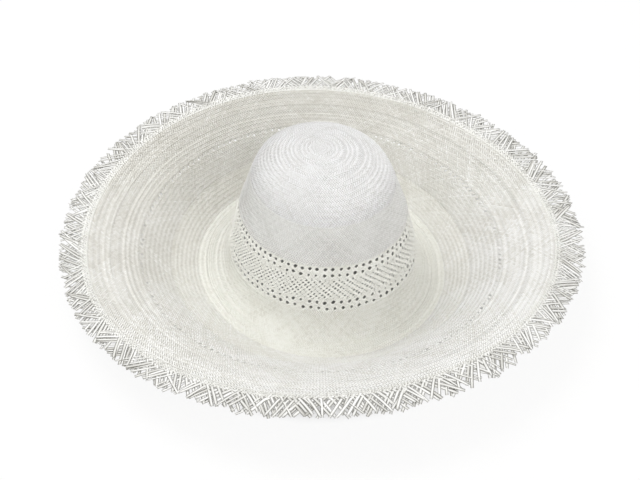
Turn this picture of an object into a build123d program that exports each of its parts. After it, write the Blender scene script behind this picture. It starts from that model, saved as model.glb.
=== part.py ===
from build123d import *

import math
import os
from dataclasses import astuple, dataclass

os.makedirs("parts", exist_ok=True)

# Panama hat with an openwork crown band and a frayed brim.
#
# Millimetres. +Z is up, -Y is the front of the hat, and the origin lies on the table under the
# middle of the hat, which rests on the flat underside of its brim trough.
#
# The hat is one weave that widens from the middle of the crown to the rim. It is built as the
# courses in which it is woven, between rings of one skin line, so that neighbouring courses meet
# along the same ring. The courses of the crown are raised with a taper from level outlines, and
# those of the wavy collar and brim are lofted round the hat.

# ---------------------------------------------------------------- driving dimensions
WALL = 1.2  # woven straw, two straws thick where they cross
SELVEDGE_WALL = 1.8  # the tight last course before the fringe
CROWN_HEIGHT = 135.4  # table to the top of the crown
KNOT_RISE = 0.5  # how proud the starting knot stands of the crown

CROWN_OVAL = 3.0  # how much longer the crown is to the front and back than its mean radius
CROWN_DRIFT = 3.0  # how far the crown stands off to +X of the axis
ROSETTE_RADIUS = 11.0  # the knot of straws from which the weave starts
ROSETTE_RIM = 1.0  # level rim of the crown round the knot
ROSETTE_CLEARANCE = 0.2
UPPER_BAND_HEIGHT = 68.7  # top edge of the openwork
LOWER_BAND_HEIGHT = 24.6  # bottom edge of the openwork

EYELET = 3.0  # corner to corner, across a diamond eyelet
EYELETS_PER_ROW = 60
EYELET_ROW_EDGE = 3.4  # outer row of eyelets to the edge of its course
EYELET_ROW_SPACING = 5.8  # one row of eyelets to the other, along the wall
EYELET_STAGGER = 0.2  # sideways step of the second row, in pitches

LADDERS = 30  # open ladders that run down the lattice at a slant
SLOTS_PER_LADDER = 4
SLOT_LENGTH = 4.2
SLOT_WIDTH = 1.2
SLOT_RISE = 40.0  # degrees above level, the lay of the straws across a ladder
LATTICE_MARGIN = 3.6  # edge of the lattice to the middle of the nearest slot
LADDER_SLANT = 11.0  # degrees round the crown, from the first slot to the last

FRINGE_STRAWS = 80  # in each of the two lays
STRAW_WIDTH = 2.0
STRAW_THICKNESS = 0.5
STRAW_LENGTH = 22.0
STRAW_LEAN = 24.0  # degrees off the radial line, each lay to its own side
LAY_GAP = 0.3  # between the two lays where they cross
FRINGE_DROOP = 1.0  # degrees below level
SEAT = 0.2  # end of a loose straw to the selvedge

SWEATBAND_HEIGHT = 20.0
SWEATBAND_THICKNESS = 1.0
SWEATBAND_DROP = 1.2  # top of the sweatband below the openwork
CLOTH_CLEARANCE = 0.3  # cloth to straw, and cloth to cloth
JOINT_TAB_WIDTH = 12.0
JOINT_TAB_THICKNESS = 0.8
JOINT_TAB_INSET = 3.0  # ends of the tab inside the edges of the sweatband

SIDES = 48  # flats round each course, a whole number in each half
SEAM = 0.2  # gap at the outer edge of each course of the wavy brim


# ---------------------------------------------------------------- the skin line
@dataclass(frozen=True)
class Ring:
    """One ring of the outer skin, as seen from above and from the side.

    radius: mean distance from the axis.
    height: mean height over the table.
    oval: how much longer the ring is to the front and back than its mean radius.
    drift: how far the ring stands off to +X of the axis.
    lift: how far the front is raised, and the back lowered.
    wave: how far front and back are raised, and the sides lowered.
    """

    radius: float
    height: float
    oval: float = 0.0
    drift: float = 0.0
    lift: float = 0.0
    wave: float = 0.0


SKIN = {
    "rosette_edge": Ring(ROSETTE_RADIUS + ROSETTE_RIM, CROWN_HEIGHT - KNOT_RISE, CROWN_OVAL, CROWN_DRIFT),
    "tip_inner": Ring(24.0, CROWN_HEIGHT - 2.0, CROWN_OVAL, CROWN_DRIFT),
    "tip_middle": Ring(37.0, CROWN_HEIGHT - 5.4, CROWN_OVAL, CROWN_DRIFT),
    "tip_edge": Ring(48.0, CROWN_HEIGHT - 9.8, CROWN_OVAL, CROWN_DRIFT),
    "shoulder": Ring(60.0, CROWN_HEIGHT - 19.0, CROWN_OVAL, CROWN_DRIFT),
    "side_top": Ring(67.0, CROWN_HEIGHT - 32.5, CROWN_OVAL, CROWN_DRIFT),
    "side_middle": Ring(74.4, UPPER_BAND_HEIGHT + 12.8, CROWN_OVAL, CROWN_DRIFT),
    "upper_band_top": Ring(79.0, UPPER_BAND_HEIGHT, CROWN_OVAL, CROWN_DRIFT),
    "lattice_top": Ring(82.5, UPPER_BAND_HEIGHT - 12.5, CROWN_OVAL, CROWN_DRIFT),
    "lattice_bottom": Ring(86.9, LOWER_BAND_HEIGHT + 12.6, CROWN_OVAL, CROWN_DRIFT),
    "collar_top": Ring(89.6, LOWER_BAND_HEIGHT, CROWN_OVAL, CROWN_DRIFT),
    "collar_middle": Ring(93.0, 14.0, 3.6, 2.8),
    "collar_flare": Ring(99.0, 5.2, 4.6, 2.4),
    "trough_inner": Ring(109.0, WALL, 5.8, 1.2),
    "trough_outer": Ring(120.0, WALL, 5.6, 0.5),
    "slope": Ring(143.0, 13.6, 4.4, 0.0, 0.4, 3.8),
    "increase": Ring(170.0, 29.4, 3.0, 0.0, 1.2, 4.8),
    "outer_middle": Ring(195.0, 39.6, 1.8, 0.0, 3.0, 6.2),
    "selvedge_inner": Ring(214.0, 45.2, 0.8, 0.0, 4.6, 7.2),
    "selvedge_outer": Ring(220.0, 46.6, 0.6, 0.0, 5.0, 7.4),
}


def skin_lengths():
    """Length along the skin line from the knot at the top of the crown to each ring."""
    lengths = {}
    total = 0.0
    previous = None
    for name, ring in SKIN.items():
        if previous is not None:
            total += math.hypot(ring.radius - previous.radius, ring.height - previous.height)
        lengths[name] = total
        previous = ring
    return lengths


AT = skin_lengths()
KNOTS = list(AT.values())
RINGS = [astuple(ring) for ring in SKIN.values()]


def surface_point(length, azimuth):
    """Distance from the axis and height of the outer skin, at a length along the skin line.

    azimuth is in degrees from the front of the hat towards +X.
    """
    index = max(0, min(len(KNOTS) - 2, sum(knot <= length for knot in KNOTS) - 1))
    share = (length - KNOTS[index]) / (KNOTS[index + 1] - KNOTS[index])
    ring = Ring(*[a + share * (b - a) for a, b in zip(RINGS[index], RINGS[index + 1])])
    angle = math.radians(azimuth)
    out = ring.radius + ring.oval * math.cos(2 * angle) + ring.drift * math.sin(angle)
    up = ring.height + ring.lift * math.cos(angle) + ring.wave * math.cos(2 * angle)
    return Vector(out, up)


def skin_point(length, azimuth, depth=0.0):
    """Distance from the axis and height of a point that lies depth mm under the skin."""
    step = 0.05
    here = surface_point(length, azimuth)
    before = (here - surface_point(length - step, azimuth)).normalized()
    after = (surface_point(length + step, azimuth) - here).normalized()
    mitre = (before + after) * (depth / (1 + before.dot(after)))
    return here.X + mitre.Y, here.Y - mitre.X


# ---------------------------------------------------------------- shared construction
def radial_plane(azimuth):
    """The plane through the axis at an azimuth, X outwards and Y up."""
    angle = math.radians(azimuth)
    outwards = (math.sin(angle), -math.cos(angle), 0)
    return Plane(origin=(0, 0, 0), x_dir=outwards, z_dir=(-math.cos(angle), -math.sin(angle), 0))


def wall_plane(length, azimuth):
    """The plane that lies halfway into the wall at a point: X level, Z out through the skin."""
    middle = radial_plane(azimuth).from_local_coords(Vector(*skin_point(length, azimuth, WALL / 2)))
    surface = radial_plane(azimuth).from_local_coords(Vector(*skin_point(length, azimuth)))
    angle = math.radians(azimuth)
    return Plane(origin=middle, x_dir=(math.cos(angle), math.sin(angle), 0), z_dir=surface - middle)


def strip_section(start, end, azimuth, outer, inner):
    """The cross-section of a strip of wall between two lengths and two depths."""
    lengths = [start] + [knot for knot in KNOTS if start < knot < end] + [end]
    outside = [skin_point(length, azimuth, outer) for length in lengths]
    inside = [skin_point(length, azimuth, inner) for length in reversed(lengths)]
    with BuildSketch(radial_plane(azimuth)) as section:
        with BuildLine():
            Polyline(*outside, *inside, close=True)
        make_face()
    return section.sketch


def loft_strip(start, end, outer, inner, turns):
    """Loft a strip of wall through its cross-sections at the given azimuths."""
    loft(sections=[strip_section(start, end, turn, outer, inner) for turn in turns], ruled=True)


RIGHT_HALF = [180 * step / (SIDES // 2) for step in range(SIDES // 2 + 1)]
LEFT_HALF = [180 + turn for turn in RIGHT_HALF]


def loft_ring(start, end, outer=0.0, inner=WALL):
    """Loft a strip of wall all the way round, as a right half and a left half."""
    loft_strip(start, end, outer, inner, RIGHT_HALF)
    loft_strip(start, end, outer, inner, LEFT_HALF)


def crown_outline(radius, height):
    """The level outline of the crown, by its mean radius."""
    corners = []
    for side in range(SIDES):
        angle = 2 * math.pi * side / SIDES
        out = radius + CROWN_OVAL * math.cos(2 * angle) + CROWN_DRIFT * math.sin(angle)
        corners.append((out * math.sin(angle), -out * math.cos(angle)))
    with BuildSketch(Plane.XY.offset(height)) as outline:
        with BuildLine():
            Polyline(*corners, close=True)
        make_face()
    return outline.sketch


def crown_profile(depth):
    """Mean radius and height of the crown's rings, depth mm under the skin, from low to high."""
    names = list(SKIN)
    rings = [SKIN[name] for name in names[: names.index("collar_top") + 1]][::-1]
    points = [Vector(ring.radius, ring.height) for ring in rings]
    steps = [(after - before).normalized() for before, after in zip(points, points[1:])]
    profile = []
    for point, before, after in zip(points, steps[:1] + steps, steps + steps[-1:]):
        mitre = (before + after) * (depth / (1 + before.dot(after)))
        profile.append((point.X - mitre.Y, point.Y + mitre.X))
    return profile


def raise_crown(low, high, depth, mode=Mode.ADD):
    """Raise the crown as it is depth mm under the skin, from one height to another."""
    profile = crown_profile(depth)
    high = min(high, profile[-1][1])
    levels = [low] + [height for _, height in profile if low < height < high] + [high]
    radii = []
    for level in levels:
        index = max(1, sum(height < level for _, height in profile))
        (radius, height), (next_radius, next_height) = profile[index - 1], profile[index]
        radii.append(radius + (next_radius - radius) * (level - height) / (next_height - height))
    with BuildPart(mode=Mode.PRIVATE) as body:
        top = crown_outline(radii[0], low)
        for index in range(1, len(levels)):
            rise = levels[index] - levels[index - 1]
            taper = math.degrees(math.atan2(radii[index - 1] - radii[index], rise))
            extrude(top, amount=rise, taper=taper)
            top = body.faces().sort_by(Axis.Z)[-1]
    add(body.part, mode=mode)


# ---------------------------------------------------------------- plain courses
with BuildPart() as crown_rosette:
    extrude(crown_outline(ROSETTE_RADIUS - ROSETTE_CLEARANCE, CROWN_HEIGHT - WALL), amount=WALL)
crown_rosette.part.label = "crown_rosette"
export_step(crown_rosette.part, "parts/crown_rosette.step")

with BuildPart() as crown_tip:
    raise_crown(SKIN["tip_edge"].height, SKIN["rosette_edge"].height, 0)
    raise_crown(SKIN["tip_edge"].height, SKIN["rosette_edge"].height, WALL, Mode.SUBTRACT)
    extrude(crown_outline(ROSETTE_RADIUS, 0), amount=CROWN_HEIGHT, mode=Mode.SUBTRACT)
crown_tip.part.label = "crown_tip"
export_step(crown_tip.part, "parts/crown_tip.step")

CROWN_COURSES = {
    "crown_shoulder": ("side_top", "tip_edge"),
    "crown_side": ("upper_band_top", "side_top"),
}
for course_name, (lower_ring, upper_ring) in CROWN_COURSES.items():
    low, high = SKIN[lower_ring].height, SKIN[upper_ring].height
    with BuildPart() as course:
        raise_crown(low, high, 0)
        raise_crown(low, high, WALL, Mode.SUBTRACT)
    course.part.label = course_name
    export_step(course.part, f"parts/{course_name}.step")

BRIM_COURSES = {
    "crown_collar": (AT["collar_top"], AT["collar_flare"], WALL),
    "brim_break_course": (AT["collar_flare"], AT["trough_outer"], WALL),
    "brim_inner_course": (AT["trough_outer"] + SEAM, AT["increase"], WALL),
    "brim_outer_course": (AT["increase"] + SEAM, AT["selvedge_inner"], WALL),
    "selvedge_course": (AT["selvedge_inner"] + SEAM, AT["selvedge_outer"], SELVEDGE_WALL),
}
for course_name, (start, end, wall) in BRIM_COURSES.items():
    with BuildPart() as course:
        loft_ring(start, end, inner=wall)
    course.part.label = course_name
    export_step(course.part, f"parts/{course_name}.step")

# ---------------------------------------------------------------- openwork
UPPER_ROW = AT["upper_band_top"] + EYELET_ROW_EDGE
LOWER_ROW = AT["collar_top"] - EYELET_ROW_EDGE
EYELET_COURSES = {
    "upper_eyelet_course": ("upper_band_top", "lattice_top", (UPPER_ROW, UPPER_ROW + EYELET_ROW_SPACING)),
    "lower_eyelet_course": ("lattice_bottom", "collar_top", (LOWER_ROW - EYELET_ROW_SPACING, LOWER_ROW)),
}
for course_name, (upper_ring, lower_ring, rows) in EYELET_COURSES.items():
    low, high = SKIN[lower_ring].height, SKIN[upper_ring].height
    with BuildPart() as course:
        raise_crown(low, high, 0)
        raise_crown(low, high, WALL, Mode.SUBTRACT)
        for row, length in enumerate(rows):
            for index in range(EYELETS_PER_ROW):
                turn = (index + 0.5 - EYELET_STAGGER * row) * 360 / EYELETS_PER_ROW
                with BuildSketch(wall_plane(length, turn)):
                    RegularPolygon(radius=EYELET / 2, side_count=4)
        extrude(amount=WALL, both=True, mode=Mode.SUBTRACT)
    course.part.label = course_name
    export_step(course.part, f"parts/{course_name}.step")

with BuildPart() as lattice_course:
    raise_crown(SKIN["lattice_bottom"].height, SKIN["lattice_top"].height, 0)
    raise_crown(SKIN["lattice_bottom"].height, SKIN["lattice_top"].height, WALL, Mode.SUBTRACT)
    first_slot = AT["lattice_top"] + LATTICE_MARGIN
    slot_step = (AT["lattice_bottom"] - LATTICE_MARGIN - first_slot) / (SLOTS_PER_LADDER - 1)
    for ladder in range(LADDERS):
        for slot in range(SLOTS_PER_LADDER):
            turn = (ladder + 0.5) * 360 / LADDERS + LADDER_SLANT * slot / (SLOTS_PER_LADDER - 1)
            with BuildSketch(wall_plane(first_slot + slot_step * slot, turn)):
                Rectangle(SLOT_LENGTH, SLOT_WIDTH, rotation=SLOT_RISE)
    extrude(amount=WALL, both=True, mode=Mode.SUBTRACT)
lattice_course.part.label = "lattice_course"
export_step(lattice_course.part, "parts/lattice_course.step")


# ---------------------------------------------------------------- fringe
def straw_plane(azimuth, side, rise):
    """The plane of a loose straw's root: Z along the straw, X across its flat face.

    side is 1 for the lay that leans towards growing azimuth and -1 for the other; rise is how
    far the straw lies above the middle of the selvedge.
    """
    reach = AT["selvedge_outer"]
    out, up = skin_point(reach, azimuth, SELVEDGE_WALL / 2)
    next_up = skin_point(reach, azimuth + 1, SELVEDGE_WALL / 2)[1]
    slope = (next_up - up) / math.radians(out)
    angle = math.radians(azimuth)
    outwards = Vector(math.sin(angle), -math.cos(angle), -math.tan(math.radians(FRINGE_DROOP)))
    sideways = Vector(math.cos(angle), math.sin(angle), slope)
    lean = math.radians(STRAW_LEAN)
    along = outwards * math.cos(lean) + sideways * (side * math.sin(lean))
    clear = SEAT + STRAW_WIDTH / 2 * math.sin(lean)
    root = Vector((out + clear) * math.sin(angle), -(out + clear) * math.cos(angle), up + rise)
    return Plane(origin=root, x_dir=outwards.cross(sideways).cross(along), z_dir=along)


FRINGE_LAYS = {"fringe_right_lay": (1, 0.0), "fringe_left_lay": (-1, 0.5)}
for lay_name, (side, shift) in FRINGE_LAYS.items():
    with BuildPart() as lay:
        for index in range(FRINGE_STRAWS):
            turn = (index + shift) * 360 / FRINGE_STRAWS
            with BuildSketch(straw_plane(turn, side, side * (LAY_GAP + STRAW_THICKNESS) / 2)):
                Rectangle(STRAW_WIDTH, STRAW_THICKNESS)
        extrude(amount=STRAW_LENGTH)
    lay.part.label = lay_name
    export_step(lay.part, f"parts/{lay_name}.step")

# ---------------------------------------------------------------- sweatband
BAND_START = AT["collar_top"] + SWEATBAND_DROP
BAND_END = BAND_START + SWEATBAND_HEIGHT
BAND_OUTER = WALL + CLOTH_CLEARANCE
BAND_INNER = BAND_OUTER + SWEATBAND_THICKNESS

with BuildPart() as sweatband:
    loft_ring(BAND_START, BAND_END, BAND_OUTER, BAND_INNER)
sweatband.part.label = "sweatband"
export_step(sweatband.part, "parts/sweatband.step")

with BuildPart() as sweatband_joint_tab:
    tab_reach = math.degrees(JOINT_TAB_WIDTH / 2 / SKIN["collar_middle"].radius)
    tab_outer = BAND_INNER + CLOTH_CLEARANCE
    loft_strip(
        BAND_START + JOINT_TAB_INSET,
        BAND_END - JOINT_TAB_INSET,
        tab_outer,
        tab_outer + JOINT_TAB_THICKNESS,
        [180 - tab_reach, 180, 180 + tab_reach],
    )
sweatband_joint_tab.part.label = "sweatband_joint_tab"
export_step(sweatband_joint_tab.part, "parts/sweatband_joint_tab.step")
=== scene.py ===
"""Looks of the panama hat: its woven straw courses, openwork, fringe and sweatband.

The hat is one weave that widens from the knot on the crown to the rim. Every course is made in
a flat chart, where the distance from the middle is the length along the skin of the hat, the
angle is the azimuth and the height is the height over the skin. One straw is drawn in the
chart, repeated into a family, turned over into the family that crosses it, and the whole course
is then laid on the skin.
"""

import logging
import math
from dataclasses import dataclass, field
from enum import Enum

import bmesh
import bpy
import numpy as np
from mathutils import Matrix, Vector

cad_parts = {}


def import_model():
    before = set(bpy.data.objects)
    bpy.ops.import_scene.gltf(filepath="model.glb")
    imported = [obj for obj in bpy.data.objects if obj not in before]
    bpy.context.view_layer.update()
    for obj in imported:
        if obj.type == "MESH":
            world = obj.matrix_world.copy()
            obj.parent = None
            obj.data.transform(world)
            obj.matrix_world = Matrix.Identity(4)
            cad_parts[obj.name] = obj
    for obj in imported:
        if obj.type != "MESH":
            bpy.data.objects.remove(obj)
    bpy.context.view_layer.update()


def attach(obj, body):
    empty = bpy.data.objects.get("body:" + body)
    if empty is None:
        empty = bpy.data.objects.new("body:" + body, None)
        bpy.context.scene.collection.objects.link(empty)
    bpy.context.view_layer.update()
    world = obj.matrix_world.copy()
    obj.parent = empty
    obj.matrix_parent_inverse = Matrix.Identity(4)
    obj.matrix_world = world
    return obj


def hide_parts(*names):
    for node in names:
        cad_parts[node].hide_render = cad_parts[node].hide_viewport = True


LOG = logging.getLogger("panama_hat")
MM = 0.001
BODY = "root"
PROBE_LENGTH = 0.4  # step along the skin that finds its slope, in millimetres
PROBE_TURN = 0.004  # step round the skin that finds its slope, in radians
POLE_TURN = 0.2  # a normal is turned up only where it dips by more than this times the radius
BOW_REACH = 2.0  # half the length of a bow, in half sizes of its opening
BOW_MARGIN = 0.4  # what is added to the reach and the fade of a bow, in millimetres
BOW_CURVE = 1.2  # how softly a bow ends
BOW_FADE = 3.2  # how far straws beside an opening give way, in half sizes of the opening
GRAIN_ALONG = 0.12  # grain for each millimetre along a straw
GRAIN_ACROSS = 1.6  # grain from the middle of a straw to its edge
GRAIN_STEP = 3.7  # grain from one straw to the next
GRAIN_RING = 0.36  # grain from one cross-section of a fringe straw to the next
CORNERS = 5  # vertices in a cross-section of an open straw, the last on the first
TEMPLATE_SHRINK = 10  # how much too slim the straws of a template are, which keeps them apart
LAP = 0.15  # how far a course reaches past its ring, in millimetres
WIDE_LAP = 0.3  # the same in the openwork


# ---------------------------------------------------------------- the skin of the hat
@dataclass(frozen=True)
class Ring:
    """One ring of the outer skin, in millimetres.

    radius: mean distance from the axis.
    height: mean height over the table.
    oval: how much longer the ring is to the front and back than its mean radius.
    drift: how far the ring stands off to +X of the axis.
    lift: how far the front is raised, and the back lowered.
    wave: how far front and back are raised, and the sides lowered.
    """

    radius: float
    height: float
    oval: float = 0.0
    drift: float = 0.0
    lift: float = 0.0
    wave: float = 0.0


RINGS: dict[str, Ring] = {
    "pole": Ring(0.0, 135.4),
    "rosette_edge": Ring(12.0, 134.9, 0.4, 0.4),
    "tip_middle": Ring(37.0, 130.0, 1.5, 1.5),
    "tip_edge": Ring(48.0, 125.6, 2.2, 2.2),
    "shoulder": Ring(60.0, 116.4, 3.0, 2.8),
    "side_top": Ring(67.0, 102.9, 3.3, 3.0),
    "side_middle": Ring(74.4, 81.5, 3.3, 3.0),
    "upper_band_top": Ring(79.0, 68.7, 3.3, 3.0),
    "lattice_top": Ring(82.5, 56.2, 3.3, 3.0),
    "lattice_bottom": Ring(86.9, 37.2, 3.4, 3.0),
    "collar_top": Ring(89.6, 24.6, 3.5, 3.0),
    "collar_middle": Ring(93.0, 14.2, 3.9, 2.8),
    "collar_low": Ring(97.6, 6.6, 4.6, 2.4),
    "collar_flare": Ring(102.6, 2.8, 5.1, 1.9),
    "trough_inner": Ring(109.0, 1.3, 5.8, 1.2),
    "trough_outer": Ring(120.0, 1.3, 5.6, 0.5),
    "slope_low": Ring(131.0, 6.6, 5.0, 0.2, 0.2, 2.0),
    "slope": Ring(143.0, 13.8, 4.4, 0.0, 0.4, 3.8),
    "increase": Ring(170.0, 29.5, 3.0, 0.0, 1.2, 4.8),
    "outer_middle": Ring(195.0, 39.6, 1.8, 0.0, 3.0, 6.2),
    "selvedge_inner": Ring(214.0, 45.2, 0.8, 0.0, 4.6, 7.2),
    "selvedge_outer": Ring(220.0, 46.6, 0.6, 0.0, 5.0, 7.4),
    "fringe_tips": Ring(245.0, 45.6, 0.0, 1.5, 3.6, 5.0),
}


class SkinLine:
    """The smooth outer skin, as a surface over length along the skin and azimuth."""

    def __init__(self, rings: dict[str, Ring]) -> None:
        """Work out the length of each ring along the skin and the slopes between them.

        Args:
            rings: the named rings, from the pole to the tips of the fringe.
        """
        names = list(rings)
        table = np.array([[r.radius, r.height, r.oval, r.drift, r.lift, r.wave] for r in rings.values()])
        gaps = np.hypot(np.diff(table[:, 0]), np.diff(table[:, 1]))
        self.knots = np.concatenate([[0.0], np.cumsum(gaps)])
        self.values = table
        steps = np.diff(table, axis=0) / gaps[:, None]
        slopes = np.zeros_like(table)
        same = steps[:-1] * steps[1:] > 0
        total = np.where(same, steps[:-1] + steps[1:], 1.0)
        slopes[1:-1] = np.where(same, 2 * steps[:-1] * steps[1:] / total, 0.0)
        slopes[0, 0] = 1.0
        slopes[-1] = steps[-1]
        self.slopes = slopes
        self.at = dict(zip(names, self.knots.tolist()))

    def ring(self, length: np.ndarray) -> np.ndarray:
        """Ring values at lengths along the skin.

        Args:
            length: lengths in millimetres.

        Returns:
            One row of six ring values for each length.
        """
        index = np.clip(np.searchsorted(self.knots, length, side="right") - 1, 0, len(self.knots) - 2)
        gap = self.knots[index + 1] - self.knots[index]
        t = ((length - self.knots[index]) / gap)[:, None]
        gap = gap[:, None]
        first, last = self.values[index], self.values[index + 1]
        rise, fall = self.slopes[index] * gap, self.slopes[index + 1] * gap
        inside = (
            first * (1 + 2 * t) * (1 - t) ** 2
            + rise * t * (1 - t) ** 2
            + last * t**2 * (3 - 2 * t)
            + fall * t**2 * (t - 1)
        )
        beyond = last + fall * (t - 1)
        return np.where(t > 1, beyond, inside)

    def radius(self, length: float) -> float:
        """Mean distance from the axis at a length along the skin."""
        return float(self.ring(np.array([length]))[0, 0])

    def surface(self, length: np.ndarray, azimuth: np.ndarray) -> np.ndarray:
        """Points of the skin.

        Args:
            length: lengths along the skin in millimetres.
            azimuth: angles from the front towards +X, in radians.

        Returns:
            One point for each pair, in millimetres.
        """
        radius, height, oval, drift, lift, wave = self.ring(length).T
        out = radius + oval * np.cos(2 * azimuth) + drift * np.sin(azimuth)
        up = height + lift * np.cos(azimuth) + wave * np.cos(2 * azimuth)
        return np.stack([out * np.sin(azimuth), -out * np.cos(azimuth), up], axis=1)

    def lay(self, chart: np.ndarray) -> np.ndarray:
        """Lay chart points on the skin.

        Args:
            chart: points whose plan is length and azimuth and whose Z is the height over the skin.

        Returns:
            The points in millimetres, in the frame of the hat.
        """
        length = np.hypot(chart[:, 0], chart[:, 1])
        azimuth = np.arctan2(chart[:, 1], chart[:, 0])
        return self.raised(length, azimuth, chart[:, 2])

    def raised(self, length: np.ndarray, azimuth: np.ndarray, height: np.ndarray) -> np.ndarray:
        """Points at a height over the skin.

        Args:
            length: lengths along the skin in millimetres.
            azimuth: angles from the front towards +X, in radians.
            height: heights over the skin in millimetres.

        Returns:
            One point for each row, in millimetres.
        """
        here = self.surface(length, azimuth)
        ahead = self.surface(length + PROBE_LENGTH, azimuth) - here
        beside = self.surface(length, azimuth + PROBE_TURN) - here
        normal = np.cross(ahead, beside)
        normal /= np.maximum(np.linalg.norm(normal, axis=1), 1e-9)[:, None]
        dips = normal[:, 2] + POLE_TURN * np.hypot(here[:, 0], here[:, 1]) < 0
        normal *= np.where(dips, -1.0, 1.0)[:, None]
        return here + normal * height[:, None]


# ---------------------------------------------------------------- openings in the weave
@dataclass(frozen=True)
class OpeningRow:
    """A row of openings round the crown, made by bowing the straws aside.

    length: place of the row along the skin.
    count: openings in the row.
    phase: turn of the row, in openings.
    long: half the length of an opening, along the straws that lean left.
    wide: half the width of an opening, along the straws that lean right.
    least: smallest size of an opening as a share of the full one.
    stray: how far openings stray from their places.
    seed: seed of the variation.
    """

    length: float
    count: int
    phase: float
    long: float
    wide: float
    least: float = 0.8
    stray: float = 0.2
    seed: int = 1

    def bow(
        self, skin: SkinLine, length: np.ndarray, azimuth: np.ndarray, family: np.ndarray
    ) -> tuple[np.ndarray, np.ndarray]:
        """Bow the middle lines of straws out of the openings.

        Args:
            skin: the skin of the hat.
            length: lengths of the points.
            azimuth: azimuths of the points.
            family: 1 for straws that lean right on their way down, and -1 for the others.

        Returns:
            The new lengths and azimuths.
        """
        rng = np.random.default_rng(self.seed)
        size = rng.uniform(self.least, 1.0, self.count)
        along = rng.normal(0, self.stray, self.count)
        aside = rng.normal(0, self.stray, self.count)
        radius = skin.radius(self.length)
        pitch = 2 * math.pi / self.count
        index = np.round(azimuth / pitch - self.phase).astype(int)
        which = index % self.count
        beside = (azimuth - (index + self.phase) * pitch) * radius - aside[which]
        ahead = length - self.length - along[which]
        run = (family * beside + ahead) / math.sqrt(2)
        off = (beside - family * ahead) / math.sqrt(2)
        gap = np.where(family > 0, self.long, self.wide) * size[which]
        reach = np.where(family > 0, self.wide, self.long) * size[which] * BOW_REACH + BOW_MARGIN
        open_here = gap * np.clip(1 - (run / reach) ** 2, 0, 1) ** BOW_CURVE
        far = np.abs(off)
        fade = np.clip(1 - (far / (BOW_FADE * gap + BOW_MARGIN)) ** 2, 0, 1)
        push = (np.sqrt(far**2 + open_here**2) - far) * fade * np.where(off < 0, -1.0, 1.0)
        return length - family * push / math.sqrt(2), azimuth + push / math.sqrt(2) / radius


@dataclass(frozen=True)
class Gather:
    """Straws gathered in groups, with slots left open between the groups.

    start: where the gathering starts along the skin.
    end: where it ends.
    straws: straws in each family.
    right: straws in a group of those that lean right on their way down.
    left: straws in a group of those that lean left.
    squeeze: how far the right and the left groups are drawn together.
    onset: how fast the gathering sets in from either end.
    mean: mean strength of the gathering.
    swing: how far the strength swings round the crown.
    limits: least and greatest strength.
    """

    start: float
    end: float
    straws: int
    right: int = 3
    left: int = 2
    squeeze: tuple[float, float] = (0.5, 0.5)
    onset: float = 5.0
    mean: float = 0.8
    swing: float = 0.28
    limits: tuple[float, float] = (0.1, 1.15)

    def draw(
        self, length: np.ndarray, azimuth: np.ndarray, family: np.ndarray, number: np.ndarray
    ) -> np.ndarray:
        """Draw the middle lines of straws together.

        Args:
            length: lengths of the points.
            azimuth: azimuths of the points.
            family: 1 for straws that lean right on their way down, and -1 for the others.
            number: number of the straw of each point in its family.

        Returns:
            The new azimuths.
        """
        size = np.where(family > 0, self.right, self.left)
        offset = (number % size - (size - 1) / 2) * 2 * math.pi / self.straws
        middle, reach = (self.start + self.end) / 2, (self.end - self.start) / 2
        inside = np.clip((1 - np.abs(length - middle) / reach) * self.onset, 0, 1)
        wave = np.sin(17 * azimuth + length * 0.31) + np.sin(41 * azimuth - length * 0.17)
        amount = np.clip(self.mean + self.swing * wave, *self.limits) * inside
        squeeze = np.where(family > 0, self.squeeze[0], self.squeeze[1])
        return azimuth - family * offset * squeeze * amount


# ---------------------------------------------------------------- finishes
def add_node(
    tree: bpy.types.NodeTree, kind: str, values: dict[str, float | tuple[float, ...]] | None = None
) -> bpy.types.Node:
    """Add a shader node.

    Args:
        tree: the node tree.
        kind: its type, without ShaderNode in front.
        values: values of its inputs, by name.

    Returns:
        The new node.
    """
    node = tree.nodes.new(f"ShaderNode{kind}")
    for name, value in (values or {}).items():
        node.inputs[name].default_value = value
    return node


def add_math(tree: bpy.types.NodeTree, kind: str, operation: str, *terms: object) -> bpy.types.NodeSocket:
    """Add a node that works something out.

    Args:
        tree: the node tree.
        kind: Math or VectorMath.
        operation: what it works out.
        terms: its inputs in order, each a socket to link or a value to set.

    Returns:
        The socket that holds the result.
    """
    node = add_node(tree, kind)
    node.operation = operation
    for place, term in enumerate(terms):
        if isinstance(term, bpy.types.NodeSocket):
            tree.links.new(term, node.inputs[place])
        else:
            node.inputs[place].default_value = term
    return node.outputs["Value"]


def mix_shaders(
    tree: bpy.types.NodeTree,
    share: bpy.types.NodeSocket,
    first: bpy.types.NodeSocket,
    second: bpy.types.NodeSocket,
) -> bpy.types.NodeSocket:
    """Mix two shaders, where share is how much of the second is shown."""
    mix = add_node(tree, "MixShader")
    for place, term in enumerate((share, first, second)):
        tree.links.new(term, mix.inputs[place])
    return mix.outputs["Shader"]


@dataclass(frozen=True)
class Tone:
    """A colour as it is seen, from 0 to 255 in each channel."""

    red: float
    green: float
    blue: float

    def linear(self) -> tuple[float, float, float, float]:
        """The colour as the shader takes it."""
        parts = [c / 255 for c in (self.red, self.green, self.blue)]
        parts = [c / 12.92 if c <= 0.04045 else ((c + 0.055) / 1.055) ** 2.4 for c in parts]
        return parts[0], parts[1], parts[2], 1.0


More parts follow.
